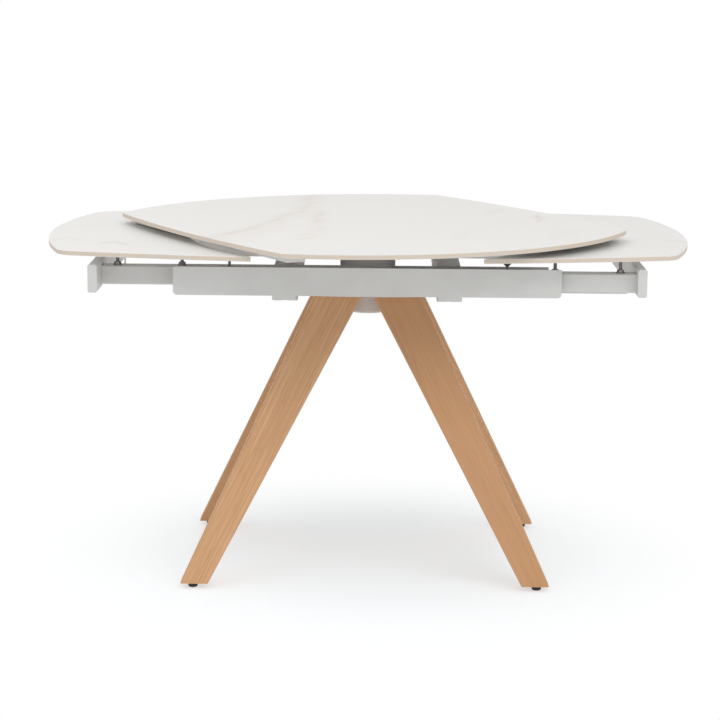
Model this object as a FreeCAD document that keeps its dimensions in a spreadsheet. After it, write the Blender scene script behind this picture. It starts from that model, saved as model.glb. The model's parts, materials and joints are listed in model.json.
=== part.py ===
import FreeCAD, Part
import math
import os
import re

# Extending dining table: a turning centre panel on a toothed turntable that drives two end leaves in and
# out on telescopic slides, over a fixed frame and four splayed oak legs.
# Frame: +X along the table, +Y to the back, +Z up, origin on the floor under the turning axis.
# The pieces stand as photographed, with the panel part of the way round.

SIZES = [
    # Top
    ("leaf_top", 750, "height of the leaf surface above the floor"),
    ("board", 10, "thickness of the stone boards"),
    ("panel_rise", 25, "height of the panel surface above the leaf surface"),
    ("top_width", 903, "width of the open table at its middle"),
    ("barrel_radius", 3200, "radius of the long sides of the open table"),
    ("seam_half", 390, "distance from the middle to a panel corner along the open table"),
    ("nest_radius", 644, "radius of the panel ends that nest in the leaves"),
    ("leaf_reach", 410, "length of a leaf's long side"),
    ("end_radius", 1030, "radius of a leaf's end"),
    ("seam_gap", 1.5, "gap between the open panel and a leaf"),
    ("leaf_corner_radius", 46, "rounding of a leaf's outer corners"),
    ("leaf_tip_radius", 1.5, "rounding of a leaf's pointed inner corners"),
    ("panel_corner_radius", 6, "rounding of the panel's corners"),
    ("board_arris", 1, "bevel along the board edges"),
    # Turn and drive
    ("open_angle", 59.5, "turn from the photographed place to fully open, in degrees"),
    ("close_angle", 30.5, "turn from the photographed place to fully closed, in degrees"),
    ("pinion_teeth", 118, "teeth on the turntable wheel"),
    ("tooth_module", 2.5, "tooth module of wheel and racks"),
    ("pressure_angle", 20, "pressure angle of the teeth, in degrees"),
    ("tooth_backlash", 0.5, "play between a wheel tooth and a rack gap"),
    ("root_clearance", 0.6, "play between a tooth tip and the root it faces"),
    ("wheel_thickness", 8, "thickness of wheel and racks"),
    ("wheel_base", 640, "height of the underside of wheel and racks"),
    ("wheel_bore", 54, "radius of the wheel's middle hole"),
    ("wheel_window", 26, "radius of the wheel's lightening holes"),
    ("wheel_window_place", 112, "distance of the lightening holes from the axis"),
    ("wheel_windows", 6, "number of lightening holes"),
    ("rack_depth", 14, "depth of a rack from pitch line to back"),
    ("rack_spare", 40, "toothed length of a rack past its last contact"),
    # Guide rails and slides
    ("rail_face", 345, "distance of the outer rail's face from the middle"),
    ("rail_base", 657, "height of the underside of the outer guide rails"),
    ("rail_height", 60, "height of the outer guide rails"),
    ("rail_wall_drop", 10, "drop of an outer rail's inner wall below its face"),
    ("inner_rail_rise", 5, "height of the inner rails' underside above the outer rails'"),
    ("inner_rail_height", 44, "height of the inner guide rails"),
    ("rail_wall", 2.5, "wall of the guide rails"),
    ("outer_rail_width", 63.5, "width of an outer guide rail"),
    ("inner_rail_width", 58.5, "width of an inner guide rail"),
    ("outer_rail_length", 817, "length of an outer guide rail"),
    ("inner_rail_length", 780, "length of an inner guide rail"),
    ("rail_corner_radius", 8, "rounding of a rail's lower end corners"),
    ("tube_size", 40, "outside of the square slide tubes"),
    ("tube_wall", 2, "wall of the slide tubes"),
    ("tube_corner", 3, "rounding of the slide tubes"),
    ("tube_base", 667, "height of the underside of the slide tubes"),
    ("tube_length", 619, "length of a slide tube"),
    ("outer_tube_face", 328, "distance of the outer slide's face from the middle"),
    ("inner_tube_face", 271, "distance of the inner slide's face from the middle"),
    ("liner_length", 60, "length of a nylon slide liner"),
    ("inner_liner_place", 130, "distance of the inner liners from the middle"),
    ("running_gap", 0.3, "clearance round sliding pieces"),
    # End bars
    ("bar_face", 587, "distance of an end bar's outer face from the middle, as photographed"),
    ("bar_thickness", 20, "thickness of an end bar"),
    ("bar_base", 661.5, "height of the underside of an end bar"),
    ("bar_height", 59, "height of an end bar"),
    ("bar_half", 352, "half length of an end bar without its caps"),
    ("bar_wall", 2, "wall of an end bar"),
    ("bar_corner", 4.5, "rounding of an end bar"),
    ("cap_thickness", 4, "thickness of an end cap"),
    ("cap_depth", 18, "length of an end cap's plug"),
    ("cap_rim_round", 2, "rounding of an end cap's outer rim"),
    # Leaf supports
    ("stud_radius", 4, "radius of a leaf stud"),
    ("outer_stud", 535, "distance of the outer studs from the middle, as photographed"),
    ("middle_stud", 397, "distance of the middle studs from the middle, as photographed"),
    ("pad_stud", 295.5, "distance of the panel pads from the middle, as photographed"),
    ("nut_flange_radius", 9.5, "radius of a stud nut's flange"),
    ("nut_flange", 2, "thickness of a stud nut's flange"),
    ("nut_across", 13, "width across flats of a stud nut"),
    ("nut_height", 7, "height of a stud nut with its flange"),
    ("plate_side", 46, "side of a leaf plate"),
    ("plate_thickness", 4, "thickness of a leaf plate"),
    ("plate_corner", 6, "rounding of a leaf plate's corners"),
    ("pad_stem_radius", 3, "radius of a panel pad's stem"),
    ("pad_radius", 11, "radius of a panel pad"),
    ("pad_cone", 8, "height of a panel pad's cone"),
    ("pad_rim", 6, "height of a panel pad's rim"),
    ("pad_drop", 7.5, "distance of a panel pad below the leaf's underside"),
    ("angle_leg", 38, "leg of a rack angle"),
    ("angle_width", 12, "width of a rack angle"),
    ("angle_wall", 3, "wall of a rack angle"),
    # Cross members and hub
    ("cross_place", 175, "distance of the cross members from the middle"),
    ("cross_width", 50, "width of a cross member"),
    ("cross_height", 25, "height of a lower cross member"),
    ("cross_end", 9, "height of a lower cross member's thin ends"),
    ("cross_slope", 8, "length of the slope that thins a cross member"),
    ("cross_tube_height", 50, "height of an upper cross tube"),
    ("cross_wall", 2.5, "wall of an upper cross tube"),
    ("rack_window_gap", 1.5, "room round a rack in a cross member"),
    ("hub_plate", 6, "thickness of the hub plate"),
    ("hub_plate_half_length", 205, "half length of the hub plate"),
    ("hub_plate_half_width", 120, "half width of the hub plate"),
    ("hub_plate_corner", 20, "rounding of the hub plate's corners"),
    ("hub_plate_bulge", 620, "radius of the hub plate's long sides"),
    ("hub_radius", 44, "radius of the hub cup"),
    ("hub_height", 54, "height of the hub cup"),
    ("hub_wall", 4, "wall of the hub cup"),
    ("hub_edge", 4, "bevel of the hub cup's lower edge"),
    # Legs and feet
    ("foot_height", 12, "height of the foot glides"),
    ("foot_radius", 10.5, "radius of a foot glide"),
    ("foot_edge", 2, "bevel of a foot glide"),
    ("foot_stem_radius", 4, "radius of a foot glide's stem"),
    ("foot_stem", 20, "length of a foot glide's stem"),
    ("foot_x", 372, "distance of a leg's foot from the middle along the table"),
    ("foot_y", 270, "distance of a leg's foot from the middle across the table"),
    ("glide_x", 376, "distance of a glide from the middle along the table"),
    ("foot_width", 60, "width of a leg at the foot"),
    ("head_x", 62, "distance of a leg's head from the middle along the table"),
    ("head_y", 69, "distance of a leg's head from the middle across the table"),
    ("head_width", 107, "width of a leg at the head"),
    ("leg_thickness", 47, "thickness of a leg, level"),
    ("leg_skew", 0, "slant of a leg's narrow sides in plan, in degrees"),
    ("leg_round", 3, "rounding of a leg's edges"),
    ("leg_bolt_step", 25, "distance of the leg bolts from the middle of a leg's head"),
    # Bolts
    ("bolt_radius", 4, "radius of the frame bolts"),
    ("bolt_head_radius", 7, "radius of a bolt head"),
    ("bolt_head", 4, "height of a bolt head"),
    ("leg_bolt_length", 45, "length of a leg bolt in the wood"),
    ("hole_play", 0.05, "radial play of a bolt in its hole"),
    # Pivot and turntable
    ("post_flange_radius", 66, "radius of the pivot post's flange"),
    ("post_flange", 6, "thickness of the pivot post's flange"),
    ("pedestal_radius", 50, "radius of the pivot post's pedestal"),
    ("post_radius", 20, "radius of the pivot post"),
    ("post_end_radius", 10, "radius of the pivot post's threaded end"),
    ("post_end", 22, "length of the pivot post's threaded end"),
    ("race_inner", 24, "inner radius of the bearing races"),
    ("race_outer", 48, "outer radius of the bearing races"),
    ("ball_place", 36, "radius of the ball circle"),
    ("ball_radius", 4, "radius of a bearing ball"),
    ("ball_count", 9, "number of bearing balls"),
    ("ball_play", 0.05, "play of a ball in its groove"),
    ("cage_inner", 28, "inner radius of the ball cage"),
    ("cage_outer", 44, "outer radius of the ball cage"),
    ("cage_thickness", 2, "thickness of the ball cage"),
    ("race_gap", 4, "gap between the bearing races"),
    ("race_thickness", 5, "thickness of a bearing race"),
    ("drum_radius", 62, "radius of the turntable drum"),
    ("drum_wall", 4, "wall of the turntable drum"),
    ("drum_flange_radius", 84, "radius of the drum's flanges"),
    ("drum_flange", 6, "thickness of the drum's flanges"),
    ("web_rise", 24, "height of the drum's inner web above the wheel"),
    ("web_thickness", 6, "thickness of the drum's inner web"),
    ("boss_radius", 35, "radius of the drum's inner boss"),
    ("boss_height", 28, "height of the drum's inner boss"),
    ("bush_radius", 28, "outer radius of the pivot bush"),
    ("bush_play", 0.05, "radial play of the bush on the post"),
    ("washer_radius", 34, "radius of the post washer"),
    ("washer_thickness", 3, "thickness of the post washer"),
    ("post_nut_across", 30, "width across flats of the post nut"),
    ("post_nut_height", 14, "height of the post nut"),
    ("screw_radius", 3, "radius of a drum screw"),
    ("screw_head_radius", 5.5, "radius of a drum screw's head"),
    ("screw_head", 3.5, "height of a drum screw's head"),
    ("screw_circle", 73, "radius of the drum screw circle"),
    ("screw_count", 6, "number of drum screws"),
    ("stop_place", 126, "distance of the stop pin from the axis"),
    ("stop_pin_radius", 5, "radius of the stop pin"),
    ("buffer_radius", 8, "radius of a stop buffer"),
    ("buffer_height", 7, "height of a stop buffer"),
    ("stop_angle", 165, "place of the stop pin round the axis, in degrees"),
    # Panel frame
    ("panel_bar_width", 40, "width of the bars under the panel"),
    ("panel_bar_height", 13, "height of the bars under the panel"),
    ("panel_bar_place", 385, "distance of a side bar's middle from the panel's long axis"),
    ("panel_bar_length", 740, "length of a side bar"),
    ("panel_arm_place", 60, "distance of a cross arm's middle from the axis"),
    ("panel_bar_corner", 3, "rounding of the bars under the panel"),
]
ALIASES = {alias for alias, value, note in SIZES}

doc = FreeCAD.newDocument("ExtendingTable")
sheet = doc.addObject("Spreadsheet::Sheet", "Sizes")
for row, (alias, value, note) in enumerate(SIZES, start=1):
    sheet.set(f"A{row}", alias)
    sheet.set(f"B{row}", str(value))
    sheet.set(f"C{row}", note)
    sheet.setAlias(f"B{row}", alias)
doc.recompute()

nodes = []

# Values worked out from the sheet, as expressions
LEAF_UNDER = "(leaf_top - board)"
PANEL_UNDER = "(leaf_top + panel_rise - board)"
RAIL_TOP = "(rail_base + rail_height)"
TUBE_TOP = "(tube_base + tube_size)"
WHEEL_TOP = "(wheel_base + wheel_thickness)"
PITCH_RADIUS = "(pinion_teeth * tooth_module / 2)"
LEAF_TRAVEL = f"({PITCH_RADIUS} * open_angle * pi / 180)"
LEAF_RETURN = f"({PITCH_RADIUS} * close_angle * pi / 180)"
CROSS_BASE = "(rail_base - cross_height)"
HUB_PLATE_BASE = f"({CROSS_BASE} - hub_plate)"
INNER_RAIL_BASE = "(rail_base + inner_rail_rise)"
INNER_RAIL_FACE = "(rail_face - outer_rail_width)"
FRAME_INSIDE = f"({INNER_RAIL_FACE} - inner_rail_width)"
PANEL_BAR_BASE = f"({PANEL_UNDER} - panel_bar_height)"
WEB_BASE = f"({WHEEL_TOP} + web_rise)"
BOSS_TOP = f"({WEB_BASE} + boss_height)"
WASHER_BASE = f"({BOSS_TOP} + running_gap)"
POST_SEAT = f"({WEB_BASE} - 2 * race_thickness - race_gap)"
BALL_LEVEL = f"({POST_SEAT} + race_thickness + race_gap / 2)"


def bound(text):
    """The expression with each size name pointing at the sheet."""
    return re.sub(r"[A-Za-z_]\w*", lambda m: f"Sizes.{m[0]}" if m[0] in ALIASES else m[0], str(text))


def value(text):
    """The number that an expression of size names gives."""
    return float(sheet.evalExpression(bound(text)))


def bind(thing, prop, text):
    """Tie a property of an object to an expression of size names."""
    thing.setExpression(prop, bound(text))


def half_width(x):
    """Half the width of the open table at a distance x from its middle, on the barrel arc."""
    return f"(top_width / 2 - barrel_radius + sqrt(barrel_radius ^ 2 - ({x}) ^ 2))"


def place(thing, x="0", y="0", z="0", turn=None):
    """Bind where an object stands and how far it is turned about +Z."""
    if turn is not None:
        thing.Placement = FreeCAD.Placement(FreeCAD.Vector(), FreeCAD.Rotation(FreeCAD.Vector(0, 0, 1), 1))
        bind(thing, "Placement.Rotation.Angle", turn)
    for axis, text in zip("xyz", (x, y, z)):
        bind(thing, f"Placement.Base.{axis}", text)


def node(thing, label):
    """Name an object as a finished piece of the table."""
    thing.Label = label
    nodes.append(thing)
    return thing


def new_body(name):
    body = doc.addObject("PartDesign::Body", name)
    return body


def plane_of(body, role):
    return next(f for f in body.Origin.OriginFeatures if f.Role == role)


def new_sketch(body, role, offset="0"):
    """A sketch on one of the body's own planes, moved along that plane's normal."""
    sketch = body.newObject("Sketcher::SketchObject", "Sketch")
    sketch.AttachmentSupport = [(plane_of(body, role), "")]
    sketch.MapMode = "FlatFace"
    bind(sketch, "AttachmentOffset.Base.z", offset)
    return sketch


def arc_between(start, end, radius):
    """Arc from start to end; a positive radius bulges to the right of the way from start to end."""
    chord = end - start
    middle = (start + end) * 0.5
    right = FreeCAD.Vector(chord.y, -chord.x, 0).normalize()
    rise = abs(radius) - math.sqrt(radius ** 2 - (chord.Length / 2) ** 2)
    crown = middle + right * math.copysign(rise, radius)
    return Part.Arc(start, crown, end).toShape().Curve, crown


def draw_loop(sketch, points, radii=None):
    """Closed outline through points; radii maps a point's index to the arc that leaves it."""
    import Sketcher
    radii = radii or {}
    corners = [FreeCAD.Vector(value(x), value(y), 0) for x, y in points]
    first = sketch.GeometryCount
    ends = []
    for i, start in enumerate(corners):
        end = corners[(i + 1) % len(corners)]
        if i in radii:
            crown = arc_between(start, end, value(radii[i]))[1]
            arc = Part.Arc(start, crown, end)
            index = sketch.addGeometry(arc)
            begin = sketch.getPoint(index, 1)
            ends.append((1, 2) if begin.distanceToPoint(start) < begin.distanceToPoint(end) else (2, 1))
        else:
            sketch.addGeometry(Part.LineSegment(start, end))
            ends.append((1, 2))
    count = len(corners)
    for i in range(count):
        after = (i + 1) % count
        sketch.addConstraint(Sketcher.Constraint("Coincident", first + i, ends[i][1],
                                                 first + after, ends[after][0]))
    for i, (x, y) in enumerate(points):
        for kind, text, number in (("DistanceX", x, corners[i].x), ("DistanceY", y, corners[i].y)):
            index = sketch.addConstraint(Sketcher.Constraint(kind, -1, 1, first + i, ends[i][0], number))
            bind(sketch, f"Constraints[{index}]", text)
    for i, text in radii.items():
        index = sketch.addConstraint(Sketcher.Constraint("Radius", first + i, abs(value(text))))
        bind(sketch, f"Constraints[{index}]", f"abs({text})")


def draw_circle(sketch, x, y, radius):
    """Circle with its middle and radius bound."""
    import Sketcher
    middle = FreeCAD.Vector(value(x), value(y), 0)
    index = sketch.addGeometry(Part.Circle(middle, FreeCAD.Vector(0, 0, 1), value(radius)))
    for kind, text, number in (("DistanceX", x, middle.x), ("DistanceY", y, middle.y)):
        at = sketch.addConstraint(Sketcher.Constraint(kind, -1, 1, index, 3, number))
        bind(sketch, f"Constraints[{at}]", text)
    at = sketch.addConstraint(Sketcher.Constraint("Radius", index, value(radius)))
    bind(sketch, f"Constraints[{at}]", radius)


def pad(body, sketch, length, midplane=False):
    feature = body.newObject("PartDesign::Pad", "Pad")
    feature.Profile = sketch
    feature.Midplane = midplane
    bind(feature, "Length", length)
    return feature


def extrude(label, role, outline, length, offset="0", radii=None, holes=(), rounds=(), midplane=False):
    """A body padded from an outline, with round holes given as (x, y, radius) and loops as outlines."""
    body = new_body(label)
    sketch = new_sketch(body, role, offset)
    draw_loop(sketch, outline, radii)
    for hole in holes:
        if isinstance(hole, tuple):
            draw_circle(sketch, *hole)
        else:
            draw_loop(sketch, hole)
    pad(body, sketch, length, midplane)
    doc.recompute()
    for picks, radius in rounds:
        round_edges(body, picks, radius)
    return body


def round_edges(body, picks, radius, kind="Fillet", prop="Radius"):
    """Round or bevel the body's edges for which picks(edge) holds."""
    base = body.Tip
    names = [f"Edge{i}" for i, edge in enumerate(base.Shape.Edges, start=1) if picks(edge)]
    if not names:
        raise RuntimeError(f"no edge to round on {body.Name}")
    feature = body.newObject(f"PartDesign::{kind}", kind)
    feature.Base = (base, names)
    bind(feature, prop, radius)
    doc.recompute()
    return feature


def along(axis, *tests):
    """Edge picker: straight edges along an axis whose middle passes every test."""
    way = dict(x=FreeCAD.Vector(1, 0, 0), y=FreeCAD.Vector(0, 1, 0), z=FreeCAD.Vector(0, 0, 1))[axis]

    def picks(edge):
        if not isinstance(edge.Curve, Part.Line):
            return False
        if edge.Curve.Direction.cross(way).Length > 1e-6:
            return False
        return all(test(edge.CenterOfMass) for test in tests)
    return picks


def level_rim(z):
    """Edge picker: edges lying wholly at a height."""
    height = value(z)
    return lambda edge: edge.BoundBox.ZLength < 1e-4 and abs(edge.BoundBox.ZMin - height) < 1e-3


def rectangle(x0, y0, x1, y1):
    return [(x0, y0), (x1, y0), (x1, y1), (x0, y1)]


def centred(width, depth, x="0", y="0"):
    """Rectangle of a width and a depth about a middle."""
    return rectangle(f"{x} - {width} / 2", f"{y} - {depth} / 2", f"{x} + {width} / 2", f"{y} + {depth} / 2")


def turned(label, profile, radii=None):
    """A body of revolution about +Z from a profile of (radius, height)."""
    body = new_body(label)
    sketch = new_sketch(body, "XZ_Plane")
    draw_loop(sketch, profile, radii)
    feature = body.newObject("PartDesign::Revolution", "Revolution")
    feature.Profile = sketch
    feature.ReferenceAxis = (sketch, ["V_Axis"])
    feature.Angle = 360
    doc.recompute()
    return body


def drill(body, top, holes, depth):
    """Round holes given as (x, y, radius), cut downwards from a height."""
    before = body.Shape.Volume
    sketch = new_sketch(body, "XY_Plane", top)
    for hole in holes:
        draw_circle(sketch, *hole)
    feature = body.newObject("PartDesign::Pocket", "Pocket")
    feature.Profile = sketch
    bind(feature, "Length", depth)
    doc.recompute()
    if body.Shape.Volume >= before:
        raise RuntimeError(f"the holes in {body.Name} cut nothing")
    return feature


def cut_through(body, role, outlines, length):
    """Outlines on one of the body's planes, cut right through both ways."""
    before = body.Shape.Volume
    sketch = new_sketch(body, role)
    for outline in outlines:
        draw_loop(sketch, outline)
    feature = body.newObject("PartDesign::Pocket", "Pocket")
    feature.Profile = sketch
    feature.Midplane = True
    bind(feature, "Length", length)
    doc.recompute()
    if body.Shape.Volume >= before:
        raise RuntimeError(f"the cut in {body.Name} takes nothing")
    return feature


def group(label, master, places):
    """Copies of one piece at places given as (x, y, z, turn), as separate solids of one node."""
    links = []
    for i, spot in enumerate(places):
        link = doc.addObject("App::Link", f"{label}_{i}")
        link.LinkedObject = master
        link.LinkTransform = False
        place(link, *spot)
        links.append(link)
    compound = doc.addObject("Part::Compound", label)
    compound.Links = links
    return node(compound, label)


def round_places(count, radius, z="0", start="0"):
    """Places evenly round the axis."""
    steps = int(value(count))
    turns = [f"({start} + 360 * {i} / {count})" for i in range(steps)]
    return [(f"{radius} * cos({a} * 1 deg)", f"{radius} * sin({a} * 1 deg)", z) for a in turns]


def hexagon(across):
    """Corners of a hexagonal nut."""
    return [(f"{across} / sqrt(3) * cos({60 * i} * 1 deg)", f"{across} / sqrt(3) * sin({60 * i} * 1 deg)")
            for i in range(6)]


# Boards
def make_board(label, outline, radii, base, rounds):
    """A stone board with rounded corners and bevelled edges."""
    body = extrude(label, "XY_Plane", outline, "board", offset=base, radii=radii, rounds=rounds)
    rims = (level_rim(base), level_rim(f"{base} + board"))
    round_edges(body, lambda edge: any(rim(edge) for rim in rims), "board_arris", "Chamfer", "Size")
    return node(body, label)


def make_leaf(side, sign):
    inner = "(seam_half + seam_gap)"
    outer = "(seam_half + leaf_reach)"
    outline = [(f"{sign} * {inner}", f"-{half_width(inner)}"), (f"{sign} * {outer}", f"-{half_width(outer)}"),
               (f"{sign} * {outer}", half_width(outer)), (f"{sign} * {inner}", half_width(inner))]
    bulge = "" if sign > 0 else "-"
    back = "-" if sign > 0 else ""
    radii = dict(enumerate((f"{bulge}barrel_radius", f"{bulge}end_radius", f"{bulge}barrel_radius",
                            f"{back}nest_radius")))
    split = value("seam_half + leaf_reach / 2")
    rounds = [(along("z", lambda p: abs(p.x) > split), "leaf_corner_radius"),
              (along("z", lambda p: abs(p.x) < split), "leaf_tip_radius")]
    body = make_board(f"{side}_leaf_top", outline, radii, LEAF_UNDER, rounds)
    place(body, x=f"{-sign} * {LEAF_TRAVEL}")


def make_panel():
    corner = half_width("seam_half")
    outline = [("-seam_half", f"-{corner}"), ("seam_half", f"-{corner}"), ("seam_half", corner),
               ("-seam_half", corner)]
    radii = dict(enumerate(("barrel_radius", "nest_radius") * 2))
    body = make_board("panel_top", outline, radii, PANEL_UNDER, [(along("z"), "panel_corner_radius")])
    place(body, turn="-open_angle")


# Legs and feet
def leg_section(x, y, width, sx, sy):
    """Outline of a leg at one level: a slanted rectangle with rounded corners, and its corner arcs."""
    lean = "tan(leg_skew * 1 deg)"
    along_x = "sin(leg_skew * 1 deg)"
    along_y = "cos(leg_skew * 1 deg)"
    blunt = "(leg_round / tan((90 + leg_skew) / 2 * 1 deg))"
    sharp = "(leg_round / tan((90 - leg_skew) / 2 * 1 deg))"
    half = f"({width} / 2)"
    deep = "(leg_thickness / 2)"
    near = (f"{x} - {deep} * {lean}", f"{y} - {deep}")
    far = (f"{x} + {deep} * {lean}", f"{y} + {deep}")
    plain = [(f"{near[0]} - {half} + {sharp}", near[1]), (f"{near[0]} + {half} - {blunt}", near[1]),
             (f"{near[0]} + {half} + {blunt} * {along_x}", f"{near[1]} + {blunt} * {along_y}"),
             (f"{far[0]} + {half} - {sharp} * {along_x}", f"{far[1]} - {sharp} * {along_y}"),
             (f"{far[0]} + {half} - {sharp}", far[1]), (f"{far[0]} - {half} + {blunt}", far[1]),
             (f"{far[0]} - {half} - {blunt} * {along_x}", f"{far[1]} - {blunt} * {along_y}"),
             (f"{near[0]} - {half} + {sharp} * {along_x}", f"{near[1]} + {sharp} * {along_y}")]
    points = [(f"{sx} * ({px})", f"{sy} * ({py})") for px, py in plain]
    return points, {corner: f"{sx * sy} * leg_round" for corner in range(1, len(points), 2)}


def make_leg(label, sx, sy):
    """A tapered oak plank, level at both ends, with slanted narrow sides."""
    body = new_body(label)
    sections = []
    for x, y, width, z in (("foot_x", "foot_y", "foot_width", "foot_height"),
                           ("head_x", "head_y", "head_width", HUB_PLATE_BASE)):
        sketch = new_sketch(body, "XY_Plane", z)
        draw_loop(sketch, *leg_section(x, y, width, sx, sy))
        sections.append(sketch)
    loft = body.newObject("PartDesign::AdditiveLoft", "Loft")
    loft.Profile = sections[0]
    loft.Sections = [sections[1]]
    loft.Ruled = True
    doc.recompute()
    drill(body, HUB_PLATE_BASE, [(f"{sx} * (head_x + {step} * leg_bolt_step)", f"{sy} * head_y",
                                  "bolt_radius + hole_play") for step in (-1, 1)], "leg_bolt_length")
    stem = "(foot_height + foot_stem)"
    drill(body, stem, [(f"{sx} * glide_x", f"{sy} * foot_y", "foot_stem_radius + hole_play")], "foot_stem")
    node(body, label)


def make_legs():
    for end, sx in (("left", -1), ("right", 1)):
        for row_name, sy in (("front", -1), ("rear", 1)):
            make_leg(f"leg_{row_name}_{end}", sx, sy)
    stem = "(foot_height + foot_stem)"
    glide = turned("glide", [("0", "0"), ("foot_radius - foot_edge", "0"), ("foot_radius", "foot_edge"),
                             ("foot_radius", "foot_height"), ("foot_stem_radius", "foot_height"),
                             ("foot_stem_radius", stem), ("0", stem)])
    group("foot_glides", glide, [(f"{sx} * glide_x", f"{sy} * foot_y") for sx in (-1, 1) for sy in (-1, 1)])
    end = "(-leg_bolt_length - hub_plate)"
    head = "bolt_head_radius"
    bolt = turned("leg_bolt", [("0", end), ("bolt_radius", end), ("bolt_radius", "0"), (head, "0"),
                               (head, "bolt_head"), ("0", "bolt_head")])
    group("leg_bolts", bolt, [(f"{sx} * (head_x + {step} * leg_bolt_step)", f"{sy} * head_y", CROSS_BASE)
                              for sx in (-1, 1) for sy in (-1, 1) for step in (-1, 1)])


# Hub and cross members
def leg_bolt_holes():
    return [(f"{sx} * (head_x + {step} * leg_bolt_step)", f"{sy} * head_y", "bolt_radius + hole_play")
            for sx in (-1, 1) for sy in (-1, 1) for step in (-1, 1)]


def make_hub():
    plate = extrude("hub_plate", "XY_Plane", centred("2 * hub_plate_half_length", "2 * hub_plate_half_width"),
                    "hub_plate", offset=HUB_PLATE_BASE, radii={0: "hub_plate_bulge", 2: "hub_plate_bulge"},
                    holes=leg_bolt_holes(), rounds=[(along("z"), "hub_plate_corner")])
    node(plate, "hub_plate")
    inside = "(hub_radius - hub_wall)"
    base = f"({HUB_PLATE_BASE} - hub_height)"
    floor = f"({base} + hub_wall)"
    cup = turned("hub_cup", [("0", base), ("hub_radius - hub_edge", base),
                             ("hub_radius", f"{base} + hub_edge"), ("hub_radius", HUB_PLATE_BASE),
                             (inside, HUB_PLATE_BASE), (inside, floor), ("0", floor)])
    node(cup, "hub_cup")


def rail_bolt_places():
    """Where the rails are bolted down, as distances from the table's long axis."""
    return ("(rail_face - outer_rail_width / 2)", f"({INNER_RAIL_FACE} - inner_rail_width / 2)")


def make_cross_member(end, sx):
    """A bar under the rails, notched for the racks and thin at its ends, and the tube that stands on it."""
    x = f"{sx} * cross_place"
    tip = f"({PITCH_RADIUS} - tooth_module - rack_window_gap)"
    back = f"({PITCH_RADIUS} + rack_depth + rack_window_gap)"
    sill = "(wheel_base - rack_window_gap)"
    thin = "(rail_base - cross_end)"
    shoulder = f"({FRAME_INSIDE} + 2 * cross_slope)"
    half = [("0", "rail_base"), (tip, "rail_base"), (tip, sill), (back, sill), (back, "rail_base"),
            (FRAME_INSIDE, "rail_base"), (FRAME_INSIDE, INNER_RAIL_BASE), (INNER_RAIL_FACE, INNER_RAIL_BASE),
            (INNER_RAIL_FACE, "rail_base"), ("rail_face", "rail_base"), ("rail_face", thin), (shoulder, thin),
            (f"{shoulder} - cross_slope", CROSS_BASE)]
    other = [(f"-{y}", z) for y, z in half[:0:-1]]
    bar = extrude(f"cross_bar_{end}", "YZ_Plane", half + other, "cross_width", offset=x, midplane=True)
    outer_bolt, inner_bolt = rail_bolt_places()
    for y, top, seat in ((outer_bolt, "rail_base", thin), (inner_bolt, INNER_RAIL_BASE, CROSS_BASE)):
        drill(bar, top, [(x, f"{sy} * {y}", "bolt_radius + hole_play") for sy in (-1, 1)], f"{top} - {seat}")
    recess = f"({INNER_RAIL_BASE} - cross_end)"
    drill(bar, recess, [(x, f"{sy} * {inner_bolt}", "bolt_head_radius + rack_window_gap") for sy in (-1, 1)],
          f"{recess} - {CROSS_BASE}")
    node(bar, f"cross_bar_{end}")
    wall = "cross_wall"
    low = "rail_base"
    high = "(rail_base + cross_tube_height)"
    left = f"({x} - cross_width / 2)"
    right = f"({x} + cross_width / 2)"
    hollow = rectangle(f"{left} + {wall}", f"{low} + {wall}", f"{right} - {wall}", f"{high} - {wall}")
    tube = extrude(f"cross_tube_{end}", "XZ_Plane", rectangle(left, low, right, high), f"2 * {FRAME_INSIDE}",
                   holes=[hollow], midplane=True)
    node(tube, f"cross_tube_{end}")


# Guide rails, liners and slides
def make_rail(label, sy, face, width, length, bolt_place, base, height):
    """A guide rail: a channel open at the top, with rounded lower ends."""
    end = f"({length} / 2)"
    rise = f"({base} + rail_corner_radius)"
    top = f"({base} + {height})"
    outline = [(f"-{end} + rail_corner_radius", base), (f"{end} - rail_corner_radius", base),
               (end, rise), (end, top), (f"-{end}", top), (f"-{end}", rise)]
    body = extrude(label, "XZ_Plane", outline, width, offset=f"{-sy} * ({face} - {width} / 2)",
                   radii={1: "rail_corner_radius", len(outline) - 1: "rail_corner_radius"}, midplane=True)
    floor = f"({base} + rail_wall)"
    channel = rectangle(f"{sy} * ({face} - {width} + rail_wall)", floor, f"{sy} * ({face} - rail_wall)",
                        f"{top} + rail_wall")
    cut_through(body, "YZ_Plane", [channel], f"2 * {length}")
    drill(body, floor, [(f"{sx} * cross_place", f"{sy} * {bolt_place}", "bolt_radius + hole_play")
                        for sx in (-1, 1)], "rail_wall")
    return node(body, label)


def make_liners(label, sx, face, width, length, tube_face, base, top):
    """Nylon channels in a pair of rails, at the end the slides leave by and near the middle."""
    wall = "rail_wall"
    outer = f"({face} - {wall})"
    inner = f"({face} - {width} + {wall})"
    floor = f"({base} + {wall})"
    near = f"({tube_face} + running_gap)"
    far = f"({tube_face} - tube_size - running_gap)"
    seat = "(tube_base - running_gap)"
    outline = [(outer, floor), (inner, floor), (inner, top), (far, top), (far, seat), (near, seat),
               (near, top), (outer, top)]
    master = extrude(f"{label}_one", "YZ_Plane", outline, "liner_length", midplane=True)
    spots = (f"({length} / 2 - rail_corner_radius - liner_length / 2)", "inner_liner_place")
    group(label, master, [(f"{sx} * {spot}", "0", "0", turn) for turn in ("0", "180") for spot in spots])


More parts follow.
